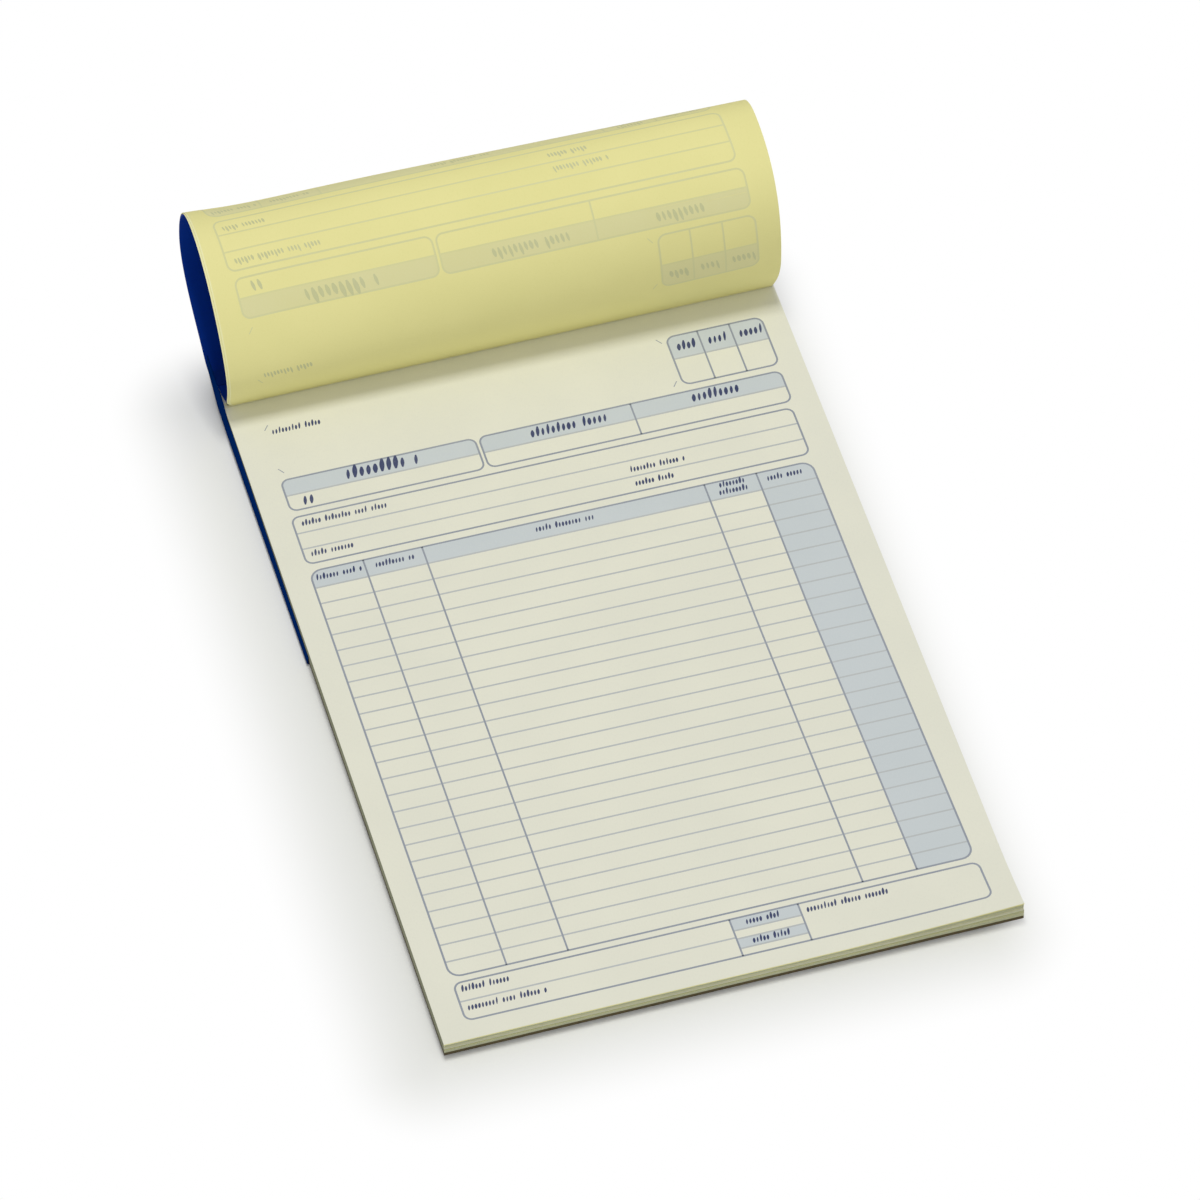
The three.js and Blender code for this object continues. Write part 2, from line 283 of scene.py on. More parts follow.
def closed_sheet(outer, inner):
    """A thin closed solid between two grids of points: both faces, and a strip of
    quads round the rim that joins the edge of one to the edge of the other."""
    rows, columns = outer.shape[:2]
    count = rows * columns
    face = grid_faces(rows, columns)
    number = np.arange(count).reshape(rows, columns)
    rim = np.concatenate([number[0, :-1], number[:-1, -1], number[-1, :0:-1], number[:0:-1, 0]])
    following = np.roll(rim, -1)
    wall = np.stack([following, rim, rim + count, following + count], 1)
    points = np.concatenate([outer.reshape(-1, 3), inner.reshape(-1, 3)])
    return points, np.concatenate([face, face[:, ::-1] + count, wall])


def dress_rim(piece, rows, columns, side, foot):
    """Gives a closed sheet's two side rims and its foot rim finishes of their own, with painted shade in
    their colours. The rim's faces come last: the first row's, the right side's, the foot's, the left's."""
    piece.data.materials.append(side)
    piece.data.materials.append(foot)
    slots = np.zeros(len(piece.data.polygons), np.int32)
    right = 2 * (rows - 1) * (columns - 1) + columns - 1
    foot_start = right + rows - 1
    left = foot_start + columns - 1
    slots[right:foot_start] = 1
    slots[foot_start:left] = 2
    slots[left:left + rows - 1] = 1
    piece.data.polygons.foreach_set("material_index", slots)


def leaf_surface(across, along, height):
    """A point of the block, by its distance across from the left edge and along from
    the crease, and its height. The corner's leaves rise by the square of the way to
    its tip, the higher ones by more, and a sine of the height gathers them in groups.
    The upper leaves creep back by the fourth power of the way to the foot, where
    another sine of the height lets the edges ripple."""
    from_side, from_foot = leaf_width - across, leaf_length - along
    corner = np.clip(1 - from_side / CORNER_REACH[0] - from_foot / CORNER_REACH[1], 0, 1) ** 2
    share = np.clip((height - board_top) / (block_top - board_top), 0, 1)
    turn = 2 * np.pi * GROUPS
    lift = share - GROUPING * np.sin(turn * share) / turn
    leaf = np.round((1 - share) * 2 * LEAF_COUNT)
    back = TOP_CREEP * (leaf < 1) + CREEP * (leaf > 1) * (share > CREEP_SHARE)
    ripple = RIPPLE * np.sin(2 * np.pi * RIPPLE_COUNT * share) * (leaf > 1)
    creep = (back + ripple) * np.clip(along / leaf_length, 0, 1) ** 4
    return np.stack(np.broadcast_arrays(
        across - half_width, crease_y - along + creep, height + CORNER_LIFT * corner * lift), -1)


def spaced(start, end, fine_from, fine_cell):
    """Places from start to end, a leaf cell apart and then, past a place, a fine cell apart."""
    coarse = np.linspace(start, fine_from, 1 + math.ceil((fine_from - start) / LEAF_CELL))
    fine = np.linspace(fine_from, end, 1 + math.ceil((end - fine_from) / fine_cell))
    return np.concatenate([coarse[:-1], fine])


def leaf_grid(along_start, along_end, height):
    """A leaf's upper face as a grid of points, at its height in the flat block."""
    along = spaced(along_start, along_end, leaf_length - CORNER_REACH[1] - 1, CORNER_CELL[1])
    across = spaced(0, leaf_width, leaf_width - CORNER_REACH[0] - 1, CORNER_CELL[0])
    return leaf_surface(across[None, :], along[:, None], height)


def build_leaf(node, material, rim, slot, relief=0.0):
    """One leaf in its solid's place, from the solid's ends and heights. A relief
    thins it from below, which leaves room for the ink on the leaf under it."""
    low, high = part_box(node)
    start, end = crease_y - high.y / MM, crease_y - low.y / MM
    thickness = (high.z - low.z) / MM
    top = leaf_grid(start, end, high.z / MM)
    bottom = top - np.array([0, 0, thickness - relief])
    piece = make_piece("leaf_" + node, *closed_sheet(top, bottom), material, slot)
    dress_rim(piece, *top.shape[:2], shaded_side_edge, rims[rim])
    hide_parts(node)
    return piece


for number in range(2, LEAF_COUNT + 1):
    for kind, material in (("original", white_paper), ("duplicate", yellow_paper)):
        slot = "white_paper" if kind == "original" else "yellow_paper"
        rim = next(name for last, name in RIM_RUNS if number <= last)
        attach(build_leaf(f"{kind}_{number:02d}", material, rim, slot), "pad")


# Top set: its two leaves are loose from the crease on, each a piece of its own beside
# its perforated stub, which stays bound with the block.
INK_ROOM = 0.03

dress("original_01_stub", white_paper)
dress("duplicate_01_stub", yellow_paper)
top_duplicate = build_leaf("duplicate_01", yellow_paper, "pale", "yellow_paper", INK_ROOM)
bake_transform(top_duplicate)
top_original = build_leaf("original_01", white_paper, "pale", "white_paper", INK_ROOM)
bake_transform(top_original)


# Print: the form on each leaf, in one blue ink. Boxes and columns are firm lines,
# rows are finer, headings and one column are a light tint, and where a pad has its
# words there are rows of slanted seeds, tapered at both ends, that spell nothing.
BOX_LINE = 0.5
COLUMN_LINE = 0.46
ROW_LINE = 0.46
TICK_LINE = 0.22
INK_BASE = 0.003
TINT_HEIGHT = 0.01
ROW_HEIGHT = 0.014
RULE_HEIGHT = 0.018
SEED_HEIGHT = 0.026
FLAT_CELL = 5.0
ARC_POINTS = 7
SEED_SLANT = 0.2
SEED_PITCH = 0.6
SEED_WIDTH = 0.38
SEED_TIP = 0.35
SEED_TALL = 1.4
SEED_TALL_SHARE = 0.22
SEED_POINTS = 7
SEED_VARIATION = (0.75, 1.25)
FIRST_GROUP = (5, 10)
LATER_GROUP = (4, 10)
LABEL_HEIGHT = 1.45
FIRST_LABEL_SEED = 20
TICK_SIZE = (1.2, 1.6)
INK_ON_WHITE = ((0.585, 0.635, 0.645), (0.49, 0.515, 0.51), (0.29, 0.32, 0.37), (0.03, 0.045, 0.13))
INK_ON_YELLOW = ((0.45, 0.49, 0.31), (0.38, 0.4, 0.26), (0.19, 0.22, 0.2), (0.05, 0.07, 0.12))
INK_TEXTURE = (0.3, 0.3, PAPER_FIBRE_SCALE, 0.78, 0.15)
INK_WEAR = 0.15

# Boxes by their left, top, right and bottom, from the leaf's left edge and its
# crease, and their corner's radius. A heading line crosses three of them.
DATE_BOX = (115.8, 9.0, 141.6, 25.6, 2.2)
SHORT_BOX = (7.6, 27.9, 59.0, 38.4, 2.0)
LONG_BOX = (60.1, 27.9, 141.1, 38.4, 2.0)
NAME_BOX = (7.0, 40.6, 140.3, 56.4, 2.0)
TABLE_BOX = (6.9, 58.9, 139.75, 191.2, 3.0)
FOOT_BOX = (7.0, 193.2, 140.0, 204.7, 2.0)
BOXES = (DATE_BOX, SHORT_BOX, LONG_BOX, NAME_BOX, TABLE_BOX, FOOT_BOX)
HEADED_BOXES = ((DATE_BOX, 16.6), (SHORT_BOX, 33.2), (LONG_BOX, 33.2))
TABLE_LEFT, TABLE_TOP, TABLE_RIGHT, TABLE_BOTTOM, TABLE_RADIUS = TABLE_BOX
TABLE_HEAD = 64.5
TABLE_COLUMNS = (21.0, 36.5, 111.25, 125.1)
ROW_PITCH = 5.3
ROW_COUNT = 24
FOOT_COLUMNS = (76.6, 94.0)
DIVIDED_BOXES = ((DATE_BOX, (124.3, 132.9)), (LONG_BOX, (100.7,)), (TABLE_BOX, TABLE_COLUMNS),
                 (FOOT_BOX, FOOT_COLUMNS))
NAME_ROWS = (46.0, 51.3)
FOOT_ROW = 198.9
FOOT_CELL_ROWS = (196.8, 199.4, 202.4)
TICK_LEFT, TICK_RIGHT, TICK_TOP, TICK_BOTTOM = 8.0, 114.4, 9.0, 25.5
TILT = 0.0035
MIDDLE_TILT = 0.0095
TILT_PLACE, TILT_REACH = 105.0, 42.0
TILT_MIDDLE = 63.0
SPREAD = 0.00011
SPREAD_FROM = 105.0


def printed_place(points):
    """The print as it lies on the leaf, a little out of true: its rows tilt, most at
    mid-length by a bell curve, and its columns spread evenly towards the foot."""
    across, along = points.T
    tilt = TILT + MIDDLE_TILT * np.exp(-((along - TILT_PLACE) / TILT_REACH) ** 2)
    spread = SPREAD * across * (along - SPREAD_FROM).clip(0)
    return across + spread, along + tilt * (across - TILT_MIDDLE)


def stroke(path, width, closed=False):
    """A line drawn on the flat: each point of the path gives two, half the width to
    its left and right, square to the path. Returns points and quads."""
    path = np.asarray(path, float)
    width = np.broadcast_to(width, len(path))
    if closed:
        run = np.roll(path, -1, 0) - np.roll(path, 1, 0)
    else:
        run = np.gradient(path, axis=0)
    run /= np.linalg.norm(run, axis=1, keepdims=True)
    side = np.stack([-run[:, 1], run[:, 0]], 1) * width[:, None] / 2
    points = np.stack([path - side, path + side], 1).reshape(-1, 2)
    first = np.arange(len(path) if closed else len(path) - 1)
    second = (first + 1) % len(path)
    return points, np.stack([2 * first, 2 * second, 2 * second + 1, 2 * first + 1], 1)


def rule(start, end, width, cell):
    """A straight line between two places, with a point every cell."""
    steps = 1 + max(1, math.ceil(math.dist(start, end) / cell))
    return stroke(np.linspace(start, end, steps), width)


def frame_box(left, top, right, bottom, radius, reach, cell):
    """A box's outline: quarter circles at its corners and straight sides with points
    every cell. One that runs past the reach is left open there."""
    turn = np.linspace(0, math.pi / 2, ARC_POINTS)
    middles = [(left + radius, top + radius, math.pi), (right - radius, top + radius, -math.pi / 2),
               (right - radius, bottom - radius, 0), (left + radius, bottom - radius, math.pi / 2)]
    arcs = [np.stack([x + radius * np.cos(turn + start), y + radius * np.sin(turn + start)], 1)
            for x, y, start in middles]
    is_open = bottom > reach
    if is_open:
        arcs = [np.array([[left, reach]]), *arcs[:2], np.array([[right, reach]])]
    path = []
    for number, corner in enumerate(arcs):
        following = arcs[(number + 1) % len(arcs)]
        steps = max(1, math.ceil(math.dist(corner[-1], following[0]) / cell))
        path += [corner, np.linspace(corner[-1], following[0], steps + 1)[1:-1]]
    if is_open:
        path = path[:-1]
    return stroke(np.concatenate(path), BOX_LINE, closed=not is_open)


def tint(cell, left, top, right, bottom, corners=(0, 0, 0, 0)):
    """A filled cell, as a grid between its top and bottom edges. The radii of its
    corners are given from the top left, clockwise, and each edge dips at its ends
    by the drop of a quarter circle."""
    steps = 1 + max(1, math.ceil((right - left) / cell))
    places = [np.linspace(left, right, steps)]
    for radius in corners:
        bend = radius * (1 - np.cos(np.linspace(0, math.pi / 2, ARC_POINTS)))
        places += [left + bend, right - bend]
    across = np.unique(np.concatenate(places).round(4))

    def dip(start_radius, end_radius):
        drop = np.zeros(len(across))
        for radius, way in ((start_radius, across - left), (end_radius, right - across)):
            inside = np.clip(radius - way, 0, radius)
            drop += radius - np.sqrt(radius ** 2 - inside ** 2)
        return drop

    upper = top + dip(corners[0], corners[1])
    lower = bottom - dip(corners[3], corners[2])
    rows = 1 + max(1, math.ceil((bottom - top) / cell))
    share = np.linspace(0, 1, rows)[:, None]
    points = np.stack([np.broadcast_to(across, (rows, len(across))), upper + (lower - upper) * share], -1)
    return points.reshape(-1, 2), grid_faces(rows, len(across))


def seeds(left, right, middle, height, seed):
    """A row of slanted seeds in place of words. Each is a short stroke whose width
    swells as a half sine from end to end. Seeded draws set their heights and widths,
    and how many stand in a group."""
    chance = np.random.default_rng(seed)
    pitch = SEED_PITCH * height
    share = np.linspace(0, 1, SEED_POINTS)
    parts = []
    place = left + pitch / 2
    group = int(chance.integers(*FIRST_GROUP))
    while place < right:
        tall = height * (SEED_TALL if chance.random() < SEED_TALL_SHARE else 1.0)
        foot = middle + height / 2
        y = foot - tall * share
        x = place + SEED_SLANT * (foot - y)
        swell = SEED_TIP + (1 - SEED_TIP) * np.sin(np.pi * share)
        width = SEED_WIDTH * height * swell * chance.uniform(*SEED_VARIATION)
        parts.append(stroke(np.stack([x, y], 1), width))
        group -= 1
        place += pitch if group else 2 * pitch
        group = group or int(chance.integers(*LATER_GROUP))
    return joined(parts)


def joined(parts):
    """Several flat meshes as one."""
    starts = np.cumsum([0] + [len(points) for points, _ in parts[:-1]])
    points = np.concatenate([points for points, _ in parts])
    return points, np.concatenate([faces + start for (_, faces), start in zip(parts, starts)])


def raise_ink(name, flat, surface, height, material, slot):
    """A thin closed solid of ink: the flat mesh on a surface at two heights, and a
    wall on each edge that only one face has."""
    points, faces = flat
    count = len(points)
    edges = np.concatenate([faces[:, [k, (k + 1) % 4]] for k in range(4)]).astype(np.int64)
    forward = edges[:, 0] * count + edges[:, 1]
    backward = edges[:, 1] * count + edges[:, 0]
    start, end = edges[~np.isin(forward, backward)].T
    wall = np.stack([end, start, start + count, end + count], 1)
    place = printed_place(points)
    solid = np.concatenate([surface(*place, height), surface(*place, INK_BASE)])
    return make_piece(name, solid, np.concatenate([faces, faces[:, ::-1] + count, wall]), material, slot)


def form_rules(reach, cell):
    """The form's boxes, columns and corner ticks, down to a reach from the crease."""
    columns = [(place, box[1], box[3]) for box, places in DIVIDED_BOXES for place in places]
    parts = [frame_box(*box, reach, cell) for box in BOXES if box[1] < reach]
    for place, top, bottom in columns:
        if top < reach:
            parts.append(rule((place, top), (place, min(bottom, reach)), COLUMN_LINE, cell))
    for across, inward in ((TICK_LEFT, 1), (TICK_RIGHT, -1)):
        for along, downward in ((TICK_TOP, 1), (TICK_BOTTOM, -1)):
            outer = (across, along + TICK_SIZE[1] * downward)
            inner = (across + TICK_SIZE[0] * inward, along)
            parts.append(rule(outer, inner, TICK_LINE, cell))
    return joined(parts)


def form_rows(reach, cell):
    """The form's rows, each by its left, its right and its place along: those in its
    boxes, and the table's, evenly spaced."""
    rows = [(box[0], box[2], line) for box, line in HEADED_BOXES]
    rows += [(NAME_BOX[0], NAME_BOX[2], line) for line in NAME_ROWS]
    rows.append((FOOT_BOX[0], FOOT_COLUMNS[0], FOOT_ROW))
    rows += [(*FOOT_COLUMNS, line) for line in FOOT_CELL_ROWS]
    rows += [(TABLE_LEFT, TABLE_RIGHT, TABLE_HEAD + ROW_PITCH * number) for number in range(ROW_COUNT)]
    return joined([rule((left, y), (right, y), ROW_LINE, cell) for left, right, y in rows if y < reach])


def form_tints(reach, cell):
    """The lightly tinted cells: headings, the last column, and two small cells."""
    last = TABLE_COLUMNS[-1]
    corner = TABLE_RADIUS if reach > TABLE_BOTTOM else 0
    foot_left, foot_right = FOOT_COLUMNS
    first, second, third = FOOT_CELL_ROWS
    cells = [(*box[:3], line, (box[4], box[4], 0, 0)) for box, line in HEADED_BOXES]
    cells += [
        (TABLE_LEFT, TABLE_TOP, last, TABLE_HEAD, (TABLE_RADIUS, 0, 0, 0)),
        (last, TABLE_TOP, TABLE_RIGHT, min(TABLE_BOTTOM, reach), (0, TABLE_RADIUS, corner, 0)),
        (foot_left, FOOT_BOX[1], foot_right, first),
        (foot_left, second, foot_right, third),
    ]
    return joined([tint(cell, *place) for place in cells if place[1] < reach])


def form_headings(reach):
    """The bold rows, each by its left, right, middle and height: the boxes' headings
    and the date box's three."""
    places = (
        (23.6, 42.8, 30.5, 3.0), (10.9, 15.1, 35.8, 2.8), (72.9, 93.2, 30.6, 2.3), (116.1, 128.5, 30.5, 2.4),
        (117.4, 122.8, 13.0, 2.2), (125.8, 131.7, 13.0, 2.2), (134.2, 140.2, 13.0, 2.2),
    )
    rows = [seeds(*place, number) for number, place in enumerate(places) if place[2] < reach]
    return joined(rows)


def form_labels(reach):
    """The small rows, each by its left, right and middle: what the boxes and columns
    are for."""
    places = (
        (9.4, 23.3, 11.6), (8.9, 31.7, 43.1), (94.2, 108.7, 49.1), (8.6, 20.1, 53.4), (94.2, 105.6, 53.8),
        (7.8, 20.0, 61.4), (23.3, 33.7, 61.4), (65.5, 81.3, 61.4), (114.6, 122.0, 60.2), (113.9, 123.0, 62.6),
        (127.0, 137.4, 61.4), (8.2, 20.3, 195.4), (8.2, 27.8, 201.2), (95.3, 115.9, 195.6),
        (80.0, 89.9, 195.0), (80.0, 89.9, 200.9),
    )
    numbered = enumerate(places, FIRST_LABEL_SEED)
    return joined([seeds(*place, LABEL_HEIGHT, number) for number, place in numbered if place[2] < reach])


def print_form(prefix, surface, inks, slot, reach=leaf_length, cell=FLAT_CELL):
    """The whole form on a surface, as one piece for each kind of mark."""
    layers = (
        ("tints", form_tints(reach, cell), TINT_HEIGHT),
        ("rows", form_rows(reach, cell), ROW_HEIGHT),
        ("rules", form_rules(reach, cell), RULE_HEIGHT),
        ("headings", form_headings(reach), SEED_HEIGHT),
        ("labels", form_labels(reach), SEED_HEIGHT),
    )
    return [raise_ink(f"{prefix}_{kind}", flat, surface, height, inks[kind], slot)
            for kind, flat, height in layers]


def ink_set(name, tint_colour, row_colour, rule_colour, word_colour):
    """The materials for one form: its tint, its fine and firm lines and its solid marks."""
    colours = {"tints": tint_colour, "rows": row_colour, "rules": rule_colour,
               "headings": word_colour, "labels": word_colour}
    made = {}
    for kind, colour in colours.items():
        paler = tuple((1 - INK_WEAR) * part + INK_WEAR for part in colour)
        made[kind] = stock_material(f"{name} {kind}", colour, paler, INK_TEXTURE)
    return made


def leaf_face(height):
    """The surface of a leaf whose top is at a height in the flat block."""
    def surface(across, along, rise):
        return leaf_surface(across, along, height) + np.array([0, 0, rise])
    return surface


white_inks = ink_set("ink on white", *INK_ON_WHITE)
yellow_inks = ink_set("ink on yellow", *INK_ON_YELLOW)
duplicate_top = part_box("duplicate_01")[1].z / MM
for printed in print_form("form_original", leaf_face(block_top), white_inks, "white_paper"):
    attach(printed, "top_original")
for printed in print_form("form_duplicate", leaf_face(duplicate_top), yellow_inks, "yellow_paper"):
    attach(printed, "top_duplicate")
next_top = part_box("original_02")[1].z / MM
for printed in print_form("form_next_original", leaf_face(next_top), white_inks, "white_paper"):
    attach(printed, "pad")


# Turned sheets: two used yellow duplicates and the dark blue card cover. Each is
# one sheet from the binding, up the wall, over the crest, down behind the head
# and forward under the pad, where its foot is tucked. The ends of the loop differ.
BLUE = (0.0008, 0.039, 0.35)
BLUE_WORN = (0.002, 0.05, 0.39)
CREASE_RADIUS = 0.15
WALL_LEAN = math.radians(61)
WALL_STIFFNESS = 0.35
LANDING_SLOPE = math.radians(33)
LANDING_RADIUS = 6.0
FALL_FULLNESS = 0.57
LANDING_FULLNESS = 0.45
LEFT_LOOP = {"overhang": 5.7, "belly": 14, "crest": (24, 40.2), "reach": 43.6, "back": 18.6,
             "front_fullness": 0.43, "back_fullness": 0.6}
RIGHT_LOOP = {"overhang": 6.9, "belly": 18.3, "crest": (17.6, 48.0), "reach": 34, "back": 20,
              "front_fullness": 0.65, "back_fullness": 0.6}
CREST_DIP = 1.1
DIP_PLACE = 17.0
ROOT_STEPS = 3
ARC_STEPS = 10
CURVE_STEPS = 36
FLAP_STEPS = 16
CREST_ROW = ROOT_STEPS + ARC_STEPS + 2 * CURVE_STEPS
TURNED_COLUMNS = 61
EDGE_SHARE = 0.0025
INSET_STEP = 3.0
INSET_REACH = 3.0
# How far a sheet's left edge stands out up to the crest, and at its foot, and is
# set in past the crease. The second value is how far its right edge is set in.
USED_2_EDGES = ((-0.35, -0.1, 2.2), 0.4)
USED_1_EDGES = ((0.2, -0.2, 2.3), 0.7)
COVER_EDGES = ((-0.3, 0.05, 2.6), 0.9)
CARD_TEXTURE = (0.3, 0.5, 1600.0, 0.55, 0.3)
CARD_SPECULAR = 0.06
PAINTED_HIGHLIGHT_EDGE = (0.9, 0.88, 0.52)
PALE_EDGE_TEXTURE = (0.3, 0.3, PAPER_FIBRE_SCALE, 0.8, 0.2)

wrap_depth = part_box("cover_flap")[1].z / MM
landing_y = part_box("cover_flap")[1].y / MM
cover_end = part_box("cover_flap")[0].y / MM
stub_depth = head_y - crease_y


def bezier(start, run, handle, end, end_run, end_handle, steps):
    """Points and directions of a cubic curve between two points, without the first."""
    share = np.linspace(0, 1, steps + 1)[1:, None]
    pull, push = start + run * handle, end - end_run * end_handle
    rest = 1 - share
    points = (rest ** 3 * start + 3 * rest ** 2 * share * pull
              + 3 * rest * share ** 2 * push + share ** 3 * end)
    runs = rest ** 2 * (pull - start) + 2 * rest * share * (push - pull) + share ** 2 * (end - push)
    return points, runs / np.linalg.norm(runs, axis=1, keepdims=True)


def arc(start_turn, end_turn, centre, radius, steps):
    """Points and directions along an arc. The turn is how far the sheet has turned up
    from running forward, and the centre is on the inside of the loop."""
    turn = np.linspace(start_turn, end_turn, steps + 1)[:, None]
    points = centre + radius * np.concatenate([-np.sin(turn), -np.cos(turn)], 1)
    return points, np.concatenate([-np.cos(turn), np.sin(turn)], 1)


def loop_section(loop, flap_end):
    """The outer face of the outermost sheet at one end of the loop, as points of depth
    behind the crease and height above the block, with the directions it runs in."""
    bend = CREASE_RADIUS + wrap_depth
    bend_start = bend * math.tan(WALL_LEAN / 2)
    forward, up, back, down = (np.array(v, float) for v in ((-1, 0), (0, 1), (1, 0), (0, -1)))
    wall = np.array([-math.cos(WALL_LEAN), math.sin(WALL_LEAN)])
    landing = np.array([-math.cos(LANDING_SLOPE), -math.sin(LANDING_SLOPE)])
    belly = np.array([-loop["overhang"], loop["belly"]])
    crest = np.array(loop["crest"], float)
    rear = np.array([loop["reach"], loop["back"]])
    setback = LANDING_RADIUS * math.tan(LANDING_SLOPE / 2)
    foot = np.array([landing_y - crease_y, -block_top])
    touch = foot - landing * setback
    stiffness = WALL_STIFFNESS * loop["belly"]
    front, rearward = loop["front_fullness"], loop["back_fullness"]
    rise, fall = crest[1] - belly[1], crest[1] - rear[1]
    root = np.linspace([stub_depth, 0], [bend_start, 0], ROOT_STEPS + 1)[:-1]
    flap = np.linspace(foot + forward * setback, [flap_end - crease_y, -block_top], FLAP_STEPS + 1)[1:]
    pieces = [
        (root, np.tile(forward, (len(root), 1))),
        arc(0, WALL_LEAN, np.array([bend_start, bend]), bend, ARC_STEPS),
        bezier(wall * bend_start, wall, stiffness, belly, up, stiffness, CURVE_STEPS),
        bezier(belly, up, front * rise, crest, back, front * (crest[0] - belly[0]), CURVE_STEPS),
        bezier(crest, back, rearward * (rear[0] - crest[0]), rear, down, rearward * fall, CURVE_STEPS),
        bezier(rear, down, FALL_FULLNESS * (rear[1] - touch[1]), touch, landing,
               LANDING_FULLNESS * (rear[0] - touch[0]), CURVE_STEPS),
        tuple(part[1:] for part in arc(-LANDING_SLOPE, 0, foot + forward * setback + up * LANDING_RADIUS,
                                       LANDING_RADIUS, ARC_STEPS)),
        (flap, np.tile(forward, (len(flap), 1))),
    ]
    return np.concatenate([p for p, _ in pieces]), np.concatenate([r for _, r in pieces])


def turned_face(depth, out, inset, flap_end):
    """One face of a turned sheet, at a depth in the wrap: each end's section is moved
    in by the depth, square to its run, and straight lines join end to end. Near the
    left end the crest dips by t squared times exp(2 - 2t), t being the way to the dip.
    The left edge stands out by one value up to the crest, and by another at the foot.
    Past the crease it is set in, by a cubic step, and comes out to that as an
    exponential of the way."""
    ends = []
    for loop in (LEFT_LOOP, RIGHT_LOOP):
        points, runs = loop_section(loop, flap_end)
        ends.append(points + depth * np.stack([runs[:, 1], -runs[:, 0]], 1))
    count = len(ends[0])
    way_down = np.clip((np.arange(count) - CREST_ROW) / CURVE_STEPS, 0, 1)
    lengths = np.concatenate([[0], np.linalg.norm(np.diff(ends[0], axis=0), axis=1).cumsum()])
    past = lengths - stub_depth
    step = np.clip(past / INSET_STEP + 0.5, 0, 1)
    set_in = out[2] * step ** 2 * (3 - 2 * step) * np.exp(-past.clip(0) / INSET_REACH)
    left = -half_width - out[0] - (out[1] - out[0]) * way_down + set_in
    right = half_width - inset
    column = np.concatenate([[0], np.linspace(EDGE_SHARE, 1, TURNED_COLUMNS - 1)])[:, None]
    across = left + (right - left) * column
    share = across / leaf_width + 0.5
    depths, heights = (ends[0][:, k] + (ends[1] - ends[0])[:, k] * share for k in (0, 1))
    way = (across + half_width).clip(0) / DIP_PLACE
    dip = CREST_DIP * way ** 2 * np.exp(2 - 2 * way)
    heights = heights - dip * heights.clip(0) / LEFT_LOOP["crest"][1]
    return np.stack([np.broadcast_to(across, depths.shape), crease_y + depths, block_top + heights], -1)


def build_turned(sheet, edges, material, edge_material, slot):
    """A turned sheet in the place of its two solids, its curl and its tucked flap.
    A narrow strip of it along the left edge has a finish of its own: on the yellow sheets a paler yellow, a
    painted highlight."""
    low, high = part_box(sheet + "_flap")
    outer = turned_face(low.z / MM, *edges, low.y / MM)
    inner = turned_face(high.z / MM, *edges, low.y / MM)
    piece = make_piece(sheet, *closed_sheet(outer, inner), material, slot)
    piece.data.materials.append(edge_material)
    strip = outer.shape[1] - 1
    face = (TURNED_COLUMNS - 1) * strip
    slots = np.zeros(len(piece.data.polygons), np.int32)
    slots[:strip] = 1
    slots[face:face + strip] = 1
    slots[-strip:] = 1
    piece.data.polygons.foreach_set("material_index", slots)
    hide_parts(sheet + "_curl", sheet + "_flap")
    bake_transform(piece)
    return outer


blue_card = stock_material("blue cover card", BLUE, BLUE_WORN, CARD_TEXTURE, CARD_SPECULAR)
painted_highlight_edge = stock_material("edge of used yellow paper, painted highlight", PAINTED_HIGHLIGHT_EDGE, YELLOW, PALE_EDGE_TEXTURE)
rolled_face = build_turned("used_duplicate_2", USED_2_EDGES, yellow_paper, painted_highlight_edge, "yellow_paper")
build_turned("used_duplicate_1", USED_1_EDGES, yellow_paper, painted_highlight_edge, "yellow_paper")
build_turned("cover", COVER_EDGES, blue_card, blue_card, "blue_card")
dress("used_original_stub_1", white_paper)
dress("used_original_stub_2", white_paper)


# Cover margin: under the pad the cover lies a little askew, so a margin of it shows
# at the left, where it is turned up and leans on the side of the block.
MARGIN_GAP = 0.06
MARGIN_OUT = (0.8, 0.35)
MARGIN_TOP = (4.75, 2.7)
MARGIN_OUT_REACH = 13.0
MARGIN_RISE = 2.6
MARGIN_RISE_FROM, MARGIN_RISE_TO = -3.0, 1.0
# Painted shade: the margin's card is a darker blue than the cover's, for a strip that lies in the block's
# shade.
SHADED_MARGIN_BLUE = (0.0004, 0.02, 0.13)
SHADED_MARGIN_BLUE_WORN = (0.0008, 0.027, 0.16)
MARGIN_CARD_TEXTURE = (0.3, 0.5, 1600.0, 0.6, 0.3)
MARGIN_ROWS = 31
MARGIN_STEPS = 13

card_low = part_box("cover_flap")[0].z / MM
card_thickness = wrap_depth - card_low


def margin_face(inner):
    """One face of the margin: a curve of three points, out from under the block, round
    and up to its side, whose reach and height change evenly from back to front. Its
    reach also grows from nothing at the back, and by the bound stubs it is higher."""
    share = np.linspace(0, 1, MARGIN_ROWS)[:, None, None]
    step = np.linspace(0, 1, MARGIN_STEPS)[None, :, None]
    side = -half_width - MARGIN_GAP - (0 if inner else card_thickness)
    low = card_low + (card_thickness if inner else 0)
    length = landing_y - LANDING_RADIUS / 2 - cover_end
    out = MARGIN_OUT[0] + (MARGIN_OUT[1] - MARGIN_OUT[0]) * share
    out = out * (share * length / MARGIN_OUT_REACH).clip(0, 1)
    y = cover_end + length * (1 - share)
    rise = np.clip((y - crease_y - MARGIN_RISE_FROM) / (MARGIN_RISE_TO - MARGIN_RISE_FROM), 0, 1)
    top = MARGIN_TOP[0] + (MARGIN_TOP[1] - MARGIN_TOP[0]) * share + MARGIN_RISE * rise
    start = (-half_width + MARGIN_GAP, low)
    bend = (side - 2 * out + (card_thickness if inner else 0), low)
    parts = [(1 - step) ** 2 * a + 2 * step * (1 - step) * b + step ** 2 * c
             for a, b, c in zip(start, bend, (side, top))]
    return np.concatenate(np.broadcast_arrays(parts[0], y, parts[1]), 2)


